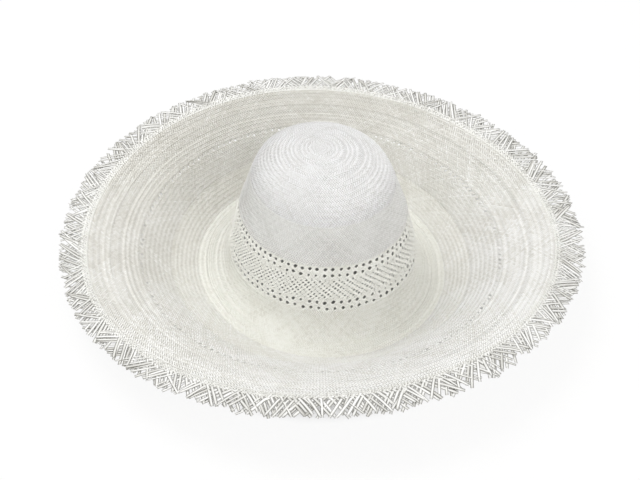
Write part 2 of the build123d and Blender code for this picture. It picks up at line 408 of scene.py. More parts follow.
@dataclass(frozen=True)
class StrawFinish:
    """Bleached straw, which differs from one straw to the next and has grain along each, with painted shade
    along the edges of each straw and, where set, painted light that lightens one side of the hat.

    slot: material slot of the frame that it fills.
    light: tone of the palest straws.
    middle: tone of most straws.
    dark: tone of the darkest straws.
    edges: how much painted shade darkens a straw along its edges.
    lit_side_gradient: how much painted light lightens the straw with each metre along X and along Y.
    roughness: roughness of the shader.
    grain: strength of the grain in the relief.
    """

    slot: str
    light: Tone
    middle: Tone
    dark: Tone
    edges: float = 0.4
    lit_side_gradient: tuple[float, float] = (0.0, 0.0)
    roughness: float = 0.5
    grain: float = 0.25

    def material(self, name: str) -> bpy.types.Material:
        """Make the material.

        Args:
            name: its name.

        Returns:
            The new material.
        """
        material = bpy.data.materials.new(name)
        material.use_nodes = True
        tree, link = material.node_tree, material.node_tree.links.new
        shader = tree.nodes["Principled BSDF"]
        shader.inputs["Roughness"].default_value = self.roughness
        shader.inputs["Specular IOR Level"].default_value = 0.35
        shader.inputs["Sheen Weight"].default_value = 0.08
        shader.inputs["Sheen Roughness"].default_value = 0.5
        straw, grain = add_node(tree, "Attribute"), add_node(tree, "Attribute")
        straw.attribute_name, grain.attribute_name = "straw", "grain"
        place = add_node(tree, "TexCoord").outputs["Object"]
        patches = add_node(tree, "TexNoise", {"Scale": 38.0, "Detail": 3.0})
        link(place, patches.inputs["Vector"])
        fibres = add_node(tree, "TexNoise", {"Scale": 1.0, "Detail": 2.0})
        link(grain.outputs["Vector"], fibres.inputs["Vector"])
        spread = add_math(tree, "Math", "MULTIPLY_ADD", patches.outputs["Fac"], 0.25, straw.outputs["Fac"])
        streak = add_math(tree, "Math", "MULTIPLY_ADD", fibres.outputs["Fac"], 0.5, spread)
        across = add_node(tree, "SeparateXYZ")
        link(grain.outputs["Vector"], across.inputs["Vector"])
        # Painted shade: a straw is darkened towards its edges, where it dips beside and under its neighbours.
        edge = add_node(tree, "MapRange", {"From Min": 0.7, "From Max": GRAIN_ACROSS, "To Max": self.edges})
        link(add_math(tree, "Math", "ABSOLUTE", across.outputs["Y"]), edge.inputs["Value"])
        tone = add_math(tree, "Math", "SUBTRACT", streak, edge.outputs["Result"])
        # Painted light: the tone is shifted by the place along X and Y, so that one side of the hat looks
        # more lit than the other.
        side_light_paint = add_math(tree, "VectorMath", "DOT_PRODUCT", place, (*self.lit_side_gradient, 0.0))
        tone_with_painted_light = add_math(tree, "Math", "ADD", tone, side_light_paint)
        ramp = add_node(tree, "ValToRGB")
        stops = ramp.color_ramp.elements
        stops[0].position, stops[1].position = 0.45, 1.0
        stops[0].color, stops[1].color = self.dark.linear(), self.light.linear()
        stops.new(0.85).color = self.middle.linear()
        link(tone_with_painted_light, ramp.inputs["Fac"])
        link(ramp.outputs["Color"], shader.inputs["Base Color"])
        bump = add_node(tree, "Bump", {"Strength": self.grain, "Distance": 0.0002})
        link(fibres.outputs["Fac"], bump.inputs["Height"])
        link(bump.outputs["Normal"], shader.inputs["Normal"])
        return material


@dataclass(frozen=True)
class ClothFinish:
    """Plain woven cotton of the sweatband.

    name: name of the material.
    tone: colour of the cloth.
    threads: threads per metre.
    """

    name: str
    tone: Tone
    threads: float = 1600.0

    def material(self) -> bpy.types.Material:
        """Make the material.

        Returns:
            The new material.
        """
        material = bpy.data.materials.new(self.name)
        material.use_nodes = True
        tree, link = material.node_tree, material.node_tree.links.new
        shader = tree.nodes["Principled BSDF"]
        shader.inputs["Roughness"].default_value = 0.85
        shader.inputs["Sheen Weight"].default_value = 0.2
        place = add_node(tree, "UVMap")
        place.uv_map = "cloth"
        warp = add_node(tree, "TexWave", {"Scale": self.threads / 20})
        weft = add_node(tree, "TexWave", {"Scale": self.threads / 20})
        weft.bands_direction = "Y"
        for threads in (warp, weft):
            link(place.outputs["UV"], threads.inputs["Vector"])
        both = add_math(tree, "Math", "MULTIPLY", warp.outputs["Fac"], weft.outputs["Fac"])
        ramp = add_node(tree, "ValToRGB")
        # Painted shade: the cloth is darker in the hollows between the warp and weft threads.
        thread_shade = Tone(self.tone.red * 0.88, self.tone.green * 0.88, self.tone.blue * 0.86)
        ramp.color_ramp.elements[0].color = thread_shade.linear()
        ramp.color_ramp.elements[1].color = self.tone.linear()
        link(both, ramp.inputs["Fac"])
        link(ramp.outputs["Color"], shader.inputs["Base Color"])
        bump = add_node(tree, "Bump", {"Strength": 0.3, "Distance": 0.0002})
        link(both, bump.inputs["Height"])
        link(bump.outputs["Normal"], shader.inputs["Normal"])
        return material


STRAW: dict[str, StrawFinish] = {
    "crown_straw": StrawFinish("crown_straw", Tone(248, 248, 250), Tone(242, 242, 243), Tone(206, 205, 202)),
    # Painted shade: a darker copy of the crown straw for the side of the crown, which darkens the side
    # against the top as light from above would.
    "shaded_crown_side_straw": StrawFinish(
        "crown_straw", Tone(246, 246, 245), Tone(239, 239, 237), Tone(203, 202, 198), 0.3
    ),
    "openwork_straw": StrawFinish(
        "openwork_straw", Tone(252, 252, 248), Tone(248, 248, 242), Tone(218, 216, 207), 0.15
    ),
    # In the two brim straws the last pair is painted light: the brim is lighter towards the front and darker
    # towards the back.
    "brim_straw": StrawFinish(
        "brim_straw", Tone(245, 245, 243), Tone(233, 232, 226), Tone(198, 195, 184), 0.2, (0.1, -0.65)
    ),
    "outer_brim_straw": StrawFinish(
        "brim_straw", Tone(245, 245, 244), Tone(227, 226, 221), Tone(191, 188, 178), 0.2, (0.1, -0.7)
    ),
    # Painted light: a paler copy of the brim straw for the collar and the brim break, which lightens them
    # where they lie in the shade of the crown and the trough.
    "lit_collar_straw": StrawFinish(
        "brim_straw", Tone(250, 250, 245), Tone(246, 246, 239), Tone(212, 209, 198), 0.2
    ),
    "selvedge_straw": StrawFinish(
        "selvedge_straw", Tone(247, 247, 245), Tone(239, 239, 235), Tone(203, 201, 193), 0.3
    ),
    "fringe_straw": StrawFinish(
        "fringe_straw", Tone(238, 238, 237), Tone(225, 225, 222), Tone(168, 166, 159), 0.5
    ),
}


# ---------------------------------------------------------------- straws
class Pattern(Enum):
    """How often a straw goes over and under the straws that cross it."""

    TWILL = 2
    PLAIN = 1

    def side(self, crossing: int) -> int:
        """1 where a straw lies over at a crossing, and -1 where it lies under."""
        return 1 if crossing % (2 * self.value) < self.value else -1


def straw_tube(rings: int) -> tuple[bmesh.types.BMesh, list[bmesh.types.BMVert]]:
    """A flat grid whose rows are later set on the four edges of a straw.

    Args:
        rings: cross-sections along the straw.

    Returns:
        The mesh and its vertices, five for each cross-section, the last on the first.
    """
    bm = bmesh.new()
    bm.verts.layers.float_vector.new("grain")
    bm.verts.layers.float_vector.new("offset")
    bm.verts.layers.float.new("straw")
    bmesh.ops.create_grid(bm, x_segments=rings - 1, y_segments=CORNERS - 1, size=0.5)
    order = sorted(bm.verts, key=lambda v: (round(v.co.x, 5), round(v.co.y, 5)))
    return bm, order


def close_tube(bm: bmesh.types.BMesh) -> None:
    """Join the long edges of a straw, cap its ends and put its parts in order.

    Args:
        bm: the mesh of the straw.
    """
    bmesh.ops.remove_doubles(bm, verts=bm.verts[:], dist=1e-5)
    ends = [edge for edge in bm.edges if edge.is_boundary]
    bmesh.ops.holes_fill(bm, edges=ends, sides=4)
    bmesh.ops.recalc_face_normals(bm, faces=bm.faces[:])
    carrier = bpy.data.meshes.new("straw")
    bm.to_mesh(carrier)
    bm.clear()
    bm.from_mesh(carrier)
    bpy.data.meshes.remove(carrier)


def repeat(bm: bmesh.types.BMesh, count: int, turn: float, shift: float = 0.0) -> None:
    """Repeat a straw in a row, by doubling the row again and again.

    Args:
        bm: the mesh of one straw.
        count: how many straws there are to be.
        turn: turn about Z from one straw to the next.
        shift: distance along Y from one straw to the next.
    """
    verts, edges, faces = len(bm.verts), len(bm.edges), len(bm.faces)
    made = 1
    while made < count:
        more = min(made, count - made)
        for parts in (bm.verts, bm.edges, bm.faces):
            parts.ensure_lookup_table()
        row = bm.verts[: verts * more] + bm.edges[: edges * more] + bm.faces[: faces * more]
        bmesh.ops.duplicate(bm, geom=row)
        bm.verts.ensure_lookup_table()
        fresh = bm.verts[verts * made :]
        bmesh.ops.rotate(bm, cent=(0, 0, 0), matrix=Matrix.Rotation(turn * made, 3, "Z"), verts=fresh)
        bmesh.ops.translate(bm, vec=(0, shift * made, 0), verts=fresh)
        made += more


def make_object(name: str, bm: bmesh.types.BMesh) -> bpy.types.Object:
    """Make an object of a mesh, which is freed.

    Args:
        name: name of the piece.
        bm: the mesh.

    Returns:
        The new object, at the origin.
    """
    mesh = bpy.data.meshes.new(name)
    bm.to_mesh(mesh)
    bm.free()
    mesh.shade_smooth()
    piece = bpy.data.objects.new(name, mesh)
    bpy.context.scene.collection.objects.link(piece)
    return piece


def points_of(piece: bpy.types.Object) -> np.ndarray:
    """The places of the vertices of a piece."""
    points = np.zeros(len(piece.data.vertices) * 3, dtype=np.float32)
    piece.data.vertices.foreach_get("co", points)
    return points.reshape(-1, 3).astype(float)


def place_points(piece: bpy.types.Object, points: np.ndarray) -> None:
    """Set the places of the vertices of a piece, given in millimetres."""
    piece.data.vertices.foreach_set("co", (points * MM).astype(np.float32).ravel())
    piece.data.update()


def read_layer(piece: bpy.types.Object, name: str) -> np.ndarray:
    """The vectors that a piece keeps at its vertices under a name."""
    values = np.zeros(len(piece.data.vertices) * 3, dtype=np.float32)
    piece.data.attributes[name].data.foreach_get("vector", values)
    return values.reshape(-1, 3)


def triangles(piece: bpy.types.Object) -> int:
    """The number of triangles in the mesh of a piece, before its modifiers."""
    return sum(len(face.vertices) - 2 for face in piece.data.polygons)


def straw_tones(rng: np.random.Generator, count: int, spread: float) -> np.ndarray:
    """One tone for each straw, at most two spreads from the middle of the scale."""
    return np.clip(rng.normal(0.5, spread, count), 0.5 - 2 * spread, 0.5 + 2 * spread)


def write_straws(piece: bpy.types.Object, tone: np.ndarray, grain: np.ndarray) -> None:
    """Give a piece the tone and the grain of its vertices, and drop what its making needed."""
    kept = piece.data.attributes
    kept["straw"].data.foreach_set("value", tone.astype(np.float32))
    kept["grain"].data.foreach_set("vector", grain.astype(np.float32).ravel())
    kept.remove(kept["offset"])


def wander(length: np.ndarray, azimuth: np.ndarray) -> np.ndarray:
    """How far straws laid by hand stray along the skin, in millimetres."""
    return 0.12 * np.sin(5 * azimuth + length * 0.21) + 0.1 * np.sin(13 * azimuth - length * 0.33)


@dataclass(frozen=True)
class Band:
    """A band of weave with the same number of straws throughout.

    start: where it starts along the skin.
    end: where it ends along the skin.
    straws: straws in each of the two families.
    pattern: how the straws cross.
    fill: width of a straw as a share of its room.
    relief: how far a straw rises and dips, in millimetres.
    thick: thickness of a straw in millimetres.
    finer: cross-sections from one crossing to the next.
    depth: how far the middle of the weave lies under the skin.
    ridge: height of the rings that the pattern raises, in millimetres.
    """

    start: float
    end: float
    straws: int
    pattern: Pattern = Pattern.TWILL
    fill: float = 0.94
    relief: float = 0.32
    thick: float = 0.42
    finer: int = 1
    depth: float = 0.45
    ridge: float = 0.22

    def centres(self, skin: SkinLine) -> list[tuple[float, float]]:
        """The crossings that one straw passes.

        Args:
            skin: the skin of the hat.

        Returns:
            Length and azimuth of each crossing.
        """
        marks = [(self.start, 0.0)]
        while marks[-1][0] < self.end:
            length, turn = marks[-1]
            marks.append((length + math.pi * skin.radius(length) / self.straws, turn + math.pi / self.straws))
        shrink = (self.end - self.start) / (marks[-1][0] - self.start)
        return [(self.start + (length - self.start) * shrink, turn) for length, turn in marks]

    def strand(self, skin: SkinLine) -> bmesh.types.BMesh:
        """One straw, in the chart.

        Args:
            skin: the skin of the hat.

        Returns:
            The mesh of the straw.
        """
        marks = self.centres(skin)
        rings = (len(marks) - 1) * self.finer + 1
        bm, order = straw_tube(rings)
        grain, straw = bm.verts.layers.float_vector["grain"], bm.verts.layers.float["straw"]
        offset = bm.verts.layers.float_vector["offset"]
        run = 0.0
        for ring in range(rings):
            low, part = divmod(ring, self.finer)
            high = min(low + 1, len(marks) - 1)
            share = part / self.finer
            length = marks[low][0] * (1 - share) + marks[high][0] * share
            turn = marks[low][1] * (1 - share) + marks[high][1] * share
            lift = self.pattern.side(low) * (1 - share) + self.pattern.side(high) * share
            after, before = marks[min(low + 1, len(marks) - 1)], marks[min(low, len(marks) - 2)]
            radius = skin.radius(length)
            ahead, beside = after[0] - before[0], (after[1] - before[1]) * radius
            far = math.hypot(ahead, beside)
            run += far / self.finer
            room = 2 * beside * ahead / far
            half = room * self.fill / 2
            across = (-beside / far * half, ahead / far * half / radius)
            height = lift * self.relief - self.depth
            section = [
                (length + across[0], turn + across[1], height, 1.0),
                (length, turn, height + self.thick / 2, 0.0),
                (length - across[0], turn - across[1], height, -1.0),
                (length, turn, height - self.thick / 2, 0.0),
            ]
            section.append(section[0])
            for place, vertex in zip(section, order[ring * CORNERS : (ring + 1) * CORNERS]):
                vertex.co = (place[0] * math.cos(place[1]), place[0] * math.sin(place[1]), place[2])
                vertex[offset] = (place[0] - length, place[1] - turn, 0.0)
                vertex[grain] = (run * GRAIN_ALONG, place[3] * GRAIN_ACROSS, 0.0)
                vertex[straw] = 0.0
        close_tube(bm)
        return bm

    def weave(self, skin: SkinLine) -> tuple[bmesh.types.BMesh, int]:
        """Both families of straws, in the chart.

        Args:
            skin: the skin of the hat.

        Returns:
            The mesh, and the number of vertices in one straw.
        """
        bm = self.strand(skin)
        each = len(bm.verts)
        repeat(bm, self.straws, 2 * math.pi / self.straws)
        family = len(bm.verts)
        bmesh.ops.duplicate(bm, geom=bm.verts[:] + bm.edges[:] + bm.faces[:])
        bm.verts.ensure_lookup_table()
        turned = bm.verts[family:]
        bmesh.ops.rotate(bm, cent=(0, 0, 0), matrix=Matrix.Rotation(math.pi, 3, "X"), verts=turned)
        bmesh.ops.translate(bm, vec=(0, 0, -2 * self.depth), verts=turned)
        return bm, each


@dataclass
class WovenCourse:
    """A course of the weave, made of bands, with openings pushed into it.

    name: name of the piece.
    nodes: CAD nodes that it stands for.
    bands: its bands.
    finish: its straw.
    slot: its material slot; not used.
    openings: rows of openings.
    gather: straws drawn together in groups, or None.
    """

    name: str
    nodes: tuple[str, ...]
    bands: list[Band]
    finish: bpy.types.Material
    slot: str
    openings: list[OpeningRow] = field(default_factory=list)
    gather: Gather | None = None

    def build(self, skin: SkinLine) -> bpy.types.Object:
        """Weave the course, open its openings and lay it on the skin.

        Args:
            skin: the skin of the hat.

        Returns:
            The piece.
        """
        parts: list[bpy.types.Object] = []
        for number, band in enumerate(self.bands):
            bm, each = band.weave(skin)
            part = make_object(f"{self.name}_{number}", bm)
            place_points(part, skin.lay(self.open_up(skin, part, band, each)))
            self.vary(part, each, number)
            parts.append(part)
        piece = parts[0]
        if len(parts) > 1:
            with bpy.context.temp_override(active_object=piece, selected_editable_objects=parts):
                bpy.ops.object.join()
        piece.name = self.name
        piece.data.name = self.name
        piece.data.materials.clear()
        piece.data.materials.append(self.finish)
        return piece

    def open_up(self, skin: SkinLine, piece: bpy.types.Object, band: Band, each: int) -> np.ndarray:
        """Open the weave, raise its rings and let its straws wander as hand-laid straws do.

        Args:
            skin: the skin of the hat.
            piece: a woven band in the chart.
            band: the band.
            each: vertices in one straw.

        Returns:
            The moved points of the chart.
        """
        chart, offset = points_of(piece), read_layer(piece, "offset")
        family = np.ones(len(chart))
        family[len(chart) // 2 :] = -1.0
        length = np.hypot(chart[:, 0], chart[:, 1]) - offset[:, 0]
        azimuth = np.arctan2(chart[:, 1], chart[:, 0]) - family * offset[:, 1]
        row = np.interp(length, *zip(*[(mark[0], k) for k, mark in enumerate(band.centres(skin))]))
        period = band.pattern.value
        ridge = band.ridge * np.cos(math.pi * (row - (period - 1) / 2) / period)
        if self.gather:
            number = np.arange(len(chart)) // each % band.straws
            azimuth = self.gather.draw(length, azimuth, family, number)
        for opening in self.openings:
            length, azimuth = opening.bow(skin, length, azimuth, family)
        length += wander(length, azimuth)
        length += offset[:, 0]
        azimuth += family * offset[:, 1]
        height = chart[:, 2] + ridge
        return np.stack([length * np.cos(azimuth), length * np.sin(azimuth), height], axis=1)

    def vary(self, piece: bpy.types.Object, each: int, seed: int) -> None:
        """Give each straw its own tone and grain.

        Args:
            piece: the piece.
            each: vertices in one straw.
            seed: seed of the variation.
        """
        which = np.arange(len(piece.data.vertices)) // each
        rng = np.random.default_rng(seed + len(self.name))
        tone = straw_tones(rng, which.max() + 1, 0.05)
        grain = read_layer(piece, "grain")
        grain[:, 2] = which * GRAIN_STEP
        write_straws(piece, tone[which], grain)


@dataclass
class Fringe:
    """One lay of the loose straws at the rim.

    name: name of the piece.
    side: 1 where the straws lean towards growing azimuth, and -1 for the other lay.
    finish: the straw.
    straws: number of straws.
    rings: cross-sections along a straw.
    lean: mean lean of a straw, in degrees.
    leans: least and greatest lean.
    wide: mean width of a straw.
    thick: thickness of a straw.
    root: how far the straws start inside the rim of the selvedge.
    short: how far the mean straw ends short of the last ring of the skin.
    woven: length over which the straws still go over and under each other.
    strays: share of the straws that go their own way.
    seed: seed of the variation.
    """

    name: str
    side: int
    finish: bpy.types.Material
    straws: int = 330
    rings: int = 10
    lean: float = 38.0
    leans: tuple[float, float] = (5.0, 60.0)
    wide: float = 2.9
    thick: float = 0.32
    root: float = 4.0
    short: float = 6.5
    woven: float = 9.0
    strays: float = 0.04
    seed: int = 7

    def template(self) -> bmesh.types.BMesh:
        """All the straws side by side, with X the cross-section, Y the straw and Z the height."""
        bm, order = straw_tube(self.rings)
        corners = ((1, 0), (0, 1), (-1, 0), (0, -1), (1, 0))
        for number, vertex in enumerate(order):
            across, up = corners[number % CORNERS]
            vertex.co = (number // CORNERS, across / TEMPLATE_SHRINK, up / TEMPLATE_SHRINK)
        close_tube(bm)
        repeat(bm, self.straws, 0.0, 1.0)
        return bm

    def swell(self, rng: np.random.Generator, azimuth: np.ndarray, size: float) -> np.ndarray:
        """A slow change round the rim, which gathers the straws in bunches.

        Args:
            rng: source of the variation.
            azimuth: place of each straw.
            size: how strong it is.

        Returns:
            Its value for each straw.
        """
        waves = rng.integers(14, 44, 7)
        phases = rng.uniform(0, 2 * math.pi, 7)
        return size * np.sin(azimuth[:, None] * waves + phases).sum(axis=1) / 2

    def build(self, skin: SkinLine) -> bpy.types.Object:
        """Lay all the loose straws of this lay.

        Args:
            skin: the skin of the hat.

        Returns:
            The piece.
        """
        count, last, pitch = self.straws, self.rings - 1, 2 * math.pi / self.straws
        piece = make_object(self.name, self.template())
        rng = np.random.default_rng(self.seed)
        place = (np.arange(count) + rng.normal(0, 0.12, count)) * pitch
        stray = rng.random(count) < self.strays
        lean = self.lean + self.swell(rng, place, 6.5) + rng.normal(0, 1.8, count)
        lean += np.where(stray, rng.normal(0, 18, count), 0.0)
        lean = np.clip(lean, *self.leans)
        bend = rng.normal(-5, 5, count)
        start = skin.at["selvedge_outer"] - self.root
        reach = skin.at["fringe_tips"] - start - self.short
        reach = reach + self.swell(rng, place, 0.8) + rng.normal(0, 1.1, count)
        reach += np.where(stray, rng.normal(0, 2.5, count), 0.0)
        share = np.linspace(0, 1, self.rings)
        heading = np.radians(lean[:, None] + bend[:, None] * share)
        length = start + reach[:, None] * share
        radius = skin.ring(length.ravel())[:, 0].reshape(length.shape)
        step = np.tan(heading) * (reach / last)[:, None] / radius
        turn = place[:, None] + self.side * (np.cumsum(step, axis=1) - step[:, :1])
        crossed = (length - start) * 2 * math.tan(math.radians(self.lean)) / (radius * pitch)
        out = (length - start) / self.woven
        woven = np.cos(math.pi * crossed) * np.clip(1.25 - out, 0, 1)
        loose = np.cos(34 * turn + 2 * np.sin(9 * turn)) * np.clip(out - 0.3, 0, 1)
        height = -0.3 + self.side * 0.34 * (woven + loose) + rng.normal(0, 0.7, count)[:, None] * share**2

        chart = points_of(piece)
        ring = np.round(chart[:, 0]).astype(int)
        which = np.clip(np.round(chart[:, 1]), 0, count - 1).astype(int)
        beside, up = (chart[:, 1] - which) * TEMPLATE_SHRINK, chart[:, 2] * TEMPLATE_SHRINK
        half = (rng.normal(self.wide, 0.18, count) / 2)[which] * (1 - 0.12 * (ring / last) ** 3)
        twist = np.radians(rng.normal(0, 12, count))[which] * ring / last
        slant, here = heading[which, ring], radius[which, ring]
        points = skin.raised(
            length[which, ring] - self.side * beside * np.sin(slant) * half,
            turn[which, ring] + beside * np.cos(slant) * half / here,
            height[which, ring] + beside * half * np.sin(twist) + up * self.thick / 2,
        )
        place_points(piece, points)
        grain = np.stack([ring * GRAIN_RING, beside * GRAIN_ACROSS, which * GRAIN_STEP], axis=1)
        write_straws(piece, straw_tones(rng, count, 0.1)[which], grain)
        piece.data.materials.append(self.finish)
        return piece


@dataclass
class Sweatband:
    """The cloth band inside the head opening.

    finish: the cloth.
    drop: top of the band below the openwork.
    height: width of the strip.
    thick: thickness of the cloth.
    depth: outer face of the band under the skin.
    tab_size: height and width of the tab.
    tab_thick: thickness of the tab.
    """

    finish: bpy.types.Material
    drop: float = 1.2
    height: float = 20.0
    thick: float = 0.9
    depth: float = 1.5
    tab_size: tuple[float, float] = (14.0, 12.0)
    tab_thick: float = 0.7

    def sew(self, name: str, bm: bmesh.types.BMesh, skin: SkinLine, thick: float) -> bpy.types.Object:
        """Lay a flat cloth on the skin and give it its thickness.

        Args:
            name: name of the piece.
            bm: the cloth in the chart.
            skin: the skin of the hat.
            thick: its thickness in millimetres.

        Returns:
            The piece.
        """
        bmesh.ops.recalc_face_normals(bm, faces=bm.faces[:])
        piece = make_object(name, bm)
        place_points(piece, skin.lay(points_of(piece)))
        wall = piece.modifiers.new("cloth", "SOLIDIFY")
        wall.thickness = thick * MM
        wall.offset = 0.0
        piece.data.materials.append(self.finish)
        return piece

    def strip(self, skin: SkinLine) -> bpy.types.Object:
        """The strip that goes round the head opening.

        Args:
            skin: the skin of the hat.

        Returns:
            The piece.
        """
        around, down = 180, 6
        bm = bmesh.new()
        uv = bm.loops.layers.uv.new("cloth")
        bmesh.ops.create_grid(bm, x_segments=around, y_segments=down, size=0.5)
        first = skin.at["collar_top"] + self.drop
        radius = skin.radius(first + self.height / 2)
        for face in bm.faces:
            for loop in face.loops:
                flat = loop.vert.co
                loop[uv].uv = (flat.x * 2 * math.pi * radius * MM, flat.y * self.height * MM)
        for vertex in bm.verts:
            turn = vertex.co.x * 2 * math.pi + math.pi
            length = first + (0.5 - vertex.co.y) * self.height
            vertex.co = (length * math.cos(turn), length * math.sin(turn), -self.depth - self.thick / 2)
        bmesh.ops.remove_doubles(bm, verts=bm.verts[:], dist=1e-4)
        return self.sew("sweatband_strip", bm, skin, self.thick)

    def tab(self, skin: SkinLine) -> bpy.types.Object:
        """The patch that covers the joint of the strip at the back.

        Args:
            skin: the skin of the hat.

        Returns:
            The piece.
        """
        tall, broad = self.tab_size
        bm = bmesh.new()
        uv = bm.loops.layers.uv.new("cloth")
        bmesh.ops.create_grid(bm, x_segments=8, y_segments=6, size=0.5)
        for face in bm.faces:
            for loop in face.loops:
                loop[uv].uv = (loop.vert.co.y * tall * MM, loop.vert.co.x * broad * MM)
        length = skin.at["collar_top"] + self.drop + self.height / 2
        radius = skin.radius(length)
        for vertex in bm.verts:
            along, turn = length + vertex.co.x * tall, math.pi + vertex.co.y * broad / radius
            under = -self.depth - self.thick - 0.5
            vertex.co = (along * math.cos(turn), along * math.sin(turn), under)
        return self.sew("sweatband_tab", bm, skin, self.tab_thick)

    def stitches(self, skin: SkinLine, count: int = 128) -> bpy.types.Object:
        """The stitches along the top edge of the strip.

        Args:
            skin: the skin of the hat.
            count: number of stitches.

        Returns:
            The piece.
        """
        bm = bmesh.new()
        length = skin.at["collar_top"] + self.drop + 2.0
        bmesh.ops.create_uvsphere(bm, u_segments=8, v_segments=6, radius=0.5)
        bmesh.ops.scale(bm, vec=(0.7, 3.0 * length / skin.radius(length), 0.5), verts=bm.verts[:])
        bmesh.ops.translate(bm, vec=(length, 0, -self.depth - self.thick - 0.1), verts=bm.verts[:])
        repeat(bm, count, 2 * math.pi / count)
        piece = make_object("sweatband_stitches", bm)
        place_points(piece, skin.lay(points_of(piece)))
        piece.data.materials.append(self.finish)
        return piece


# ---------------------------------------------------------------- the hat
@dataclass
class Hat:
    """The whole hat.

    skin: its outer skin.
    """

    skin: SkinLine

    def eyelet_openings(self, upper: bool) -> list[OpeningRow]:
        """The two rows of eyelets at one edge of the openwork.

        Args:
            upper: whether it is the upper edge.

        Returns:
            The rows.
        """
        margin, apart = 3.4, 5.8
        if upper:
            edge = self.skin.at["upper_band_top"] + margin
            return [
                OpeningRow(edge, 76, 0.5, 1.95, 1.75, 0.82, 0.2, 3),
                OpeningRow(edge + apart, 76, 0.3, 2.0, 1.75, 0.6, 0.3, 4),
            ]
        edge = self.skin.at["collar_top"] - margin
        return [
            OpeningRow(edge - apart, 79, 0.3, 2.1, 1.85, 0.5, 0.35, 5),
            OpeningRow(edge, 79, 0.5, 2.05, 1.8, 0.65, 0.25, 6),
        ]

    def courses(self, made: dict[str, bpy.types.Material]) -> list[WovenCourse]:
        """The woven courses, from the knot to the selvedge.

        Args:
            made: the straw materials, by name.

        Returns:
            The courses.
        """
        at = self.skin.at
        fine = {"finer": 2, "fill": 0.8, "relief": 0.2, "ridge": 0.0}
        slots = {**fine, "fill": 0.74}
        soft = {"relief": 0.26, "ridge": 0.13}
        family = 264
        openwork = {
            "openings": self.eyelet_openings(True) + self.eyelet_openings(False),
            "gather": Gather(at["lattice_top"] - 1.5, at["lattice_bottom"] + 1.5, family),
        }
        increase = [OpeningRow(at["increase"] - 2.2, 160, 0.5, 1.8, 1.65, 0.55, 0.3, 7)]

        def course(name: str, node: str, straw: str, *bands: Band, **more: object) -> WovenCourse:
            """A course that stands for one CAD node."""
            return WovenCourse(name, (node,), list(bands), made[straw], STRAW[straw].slot, **more)

        def span(start: str, end: str, straws: int, lap: float = LAP, **more: object) -> Band:
            """A band from one ring of the skin to a little past another."""
            return Band(at[start], at[end] + lap, straws, **more)

        low = at["trough_inner"]
        inner, outer, outer_straw = "brim_inner_course", "brim_outer_course", "outer_brim_straw"
        return [
            course(
                "knot_weave",
                "crown_rosette",
                "crown_straw",
                Band(0.15, 3.4, 8, ridge=0.0),
                Band(3.2, 12.4, 26, ridge=0.05),
            ),
            course(
                "crown_tip_weave",
                "crown_tip",
                "crown_straw",
                Band(12, 22.4, 48, ridge=0.08),
                Band(22, 37.4, 84, ridge=0.12),
                Band(37, at["tip_edge"] + 0.4, 122, ridge=0.16),
            ),
            course(
                "crown_shoulder_weave",
                "crown_shoulder",
                "crown_straw",
                span("tip_edge", "side_top", 162),
            ),
            course(
                "crown_side_weave",
                "crown_side",
                "shaded_crown_side_straw",
                span("side_top", "upper_band_top", 200, 0.2),
            ),
            *[
                course(name, node, "openwork_straw", span(start, end, family, WIDE_LAP, **weave), **openwork)
                for name, node, start, end, weave in (
                    ("upper_eyelet_weave", "upper_eyelet_course", "upper_band_top", "lattice_top", fine),
                    ("lattice_weave", "lattice_course", "lattice_top", "lattice_bottom", slots),
                    ("lower_eyelet_weave", "lower_eyelet_course", "lattice_bottom", "collar_top", fine),
                )
            ],
            course(
                "collar_weave",
                "crown_collar",
                "lit_collar_straw",
                span("collar_top", "collar_flare", 280, **soft),
            ),
            course(
                "brim_break_weave",
                "brim_break_course",
                "lit_collar_straw",
                Band(at["collar_flare"], low - 1.8, 330, **soft),
                Band(low - 2.0, low + 3.4, 344, Pattern.PLAIN, relief=0.45),
                Band(low + 3.2, at["trough_outer"] + LAP, 352, **soft),
            ),
            *[
                course(name, node, straw, span(start, end, straws, **soft), openings=rows)
                for name, node, straw, start, end, straws, rows in (
                    ("brim_inner_weave", inner, "brim_straw", "trough_outer", "slope", 404, []),
                    ("brim_inner_weave_outer", inner, outer_straw, "slope", "increase", 430, increase),
                    ("brim_outer_weave", outer, outer_straw, "increase", "outer_middle", 470, []),
                    ("brim_outer_weave_outer", outer, outer_straw, "outer_middle", "selvedge_inner", 490, []),
                )
            ],
            course(
                "selvedge_weave",
                "selvedge_course",
                "selvedge_straw",
                Band(at["selvedge_inner"], at["selvedge_outer"], 500, Pattern.PLAIN, 1.0, 0.4, 0.6),
            ),
        ]

    def build(self) -> None:
        """Build every piece of the hat and let it ride on the body."""
        made = {name: finish.material(name) for name, finish in STRAW.items()}
        pieces: list[bpy.types.Object] = []
        for course in self.courses(made):
            piece = course.build(self.skin)
            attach(piece, BODY)
            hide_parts(*course.nodes)
            pieces.append(piece)
        for name, node, side, seed in (
            ("fringe_right_straws", "fringe_right_lay", 1, 7),
            ("fringe_left_straws", "fringe_left_lay", -1, 8),
        ):
            piece = Fringe(name, side, made["fringe_straw"], seed=seed).build(self.skin)
            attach(piece, BODY)
            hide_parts(node)
            pieces.append(piece)
        band = Sweatband(ClothFinish("sweatband_cloth", Tone(226, 221, 208)).material())
        strip = band.strip(self.skin)
        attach(strip, BODY)
        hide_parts("sweatband")
        tab = band.tab(self.skin)
        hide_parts("sweatband_joint_tab")
        stitches = band.stitches(self.skin)
        for piece in (tab, stitches):
            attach(piece, BODY)
        middle = self.skin.at["collar_top"] + 11  # the middle of the strip, to the millimetre
        around = 2 * math.pi * self.skin.radius(middle) * MM
        for piece in (*pieces, strip, tab, stitches):
            LOG.info("%s: %d triangles", piece.name, triangles(piece))


